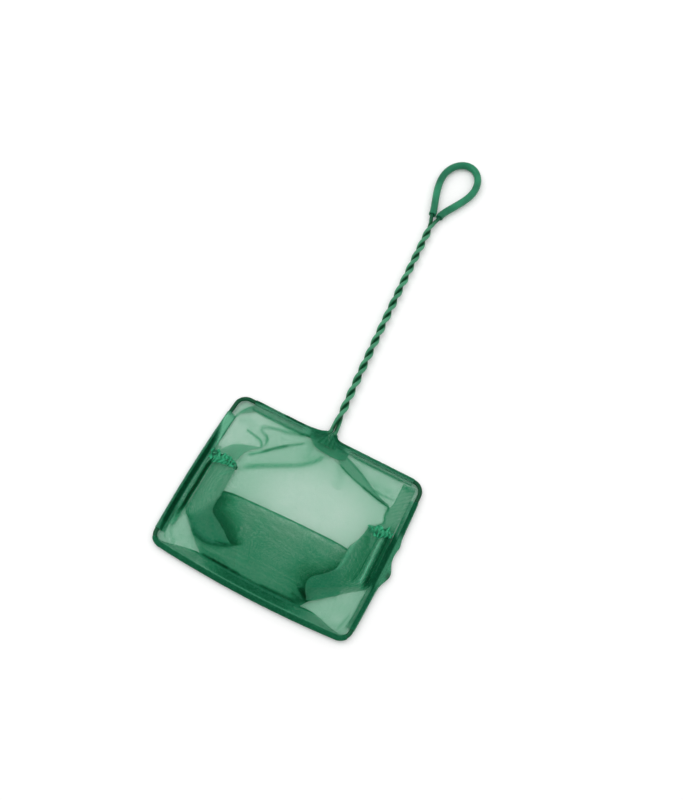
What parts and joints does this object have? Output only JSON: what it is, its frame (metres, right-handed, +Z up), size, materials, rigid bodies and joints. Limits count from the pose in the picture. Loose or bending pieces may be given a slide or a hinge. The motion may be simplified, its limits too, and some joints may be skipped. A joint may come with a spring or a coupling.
{
  "type": "aquarium fish net",
  "caption": "Small hand net for aquarium fish: rectangular coated-wire hoop with a hemmed mesh bag, twisted wire handle and a sleeved hanging loop, lying flat.",
  "frame": {"origin": "middle of the underside of the whole net's box, on the surface that the net lies on", "axes": "+Z up, out of the net's mouth; +Y along the handle toward its loop; +X to the right with the handle pointing away"},
  "size_m": [0.1542, 0.4158, 0.0089],
  "materials": {
    "coated_wire": "glossy",
    "vinyl_tube": "glossy",
    "hem_mesh": "matte",
    "bag_mesh": "matte",
    "tack_thread": "matte"
  },
  "bodies": {
    "root": {"hoop_wire_left": "coated_wire", "hoop_wire_right": "coated_wire", "handle_strand_left": "coated_wire", "handle_strand_right": "coated_wire", "loop_wire": "coated_wire", "grip_tube": "vinyl_tube", "handle_side_hem_left": "hem_mesh", "handle_side_hem_right": "hem_mesh", "left_hem": "hem_mesh", "right_hem": "hem_mesh", "far_hem": "hem_mesh", "handle_panel": "bag_mesh", "far_panel": "bag_mesh", "left_gusset": "bag_mesh", "right_gusset": "bag_mesh", "left_seam_tack": "tack_thread", "right_seam_tack": "tack_thread"}
  },
  "joints": []
}
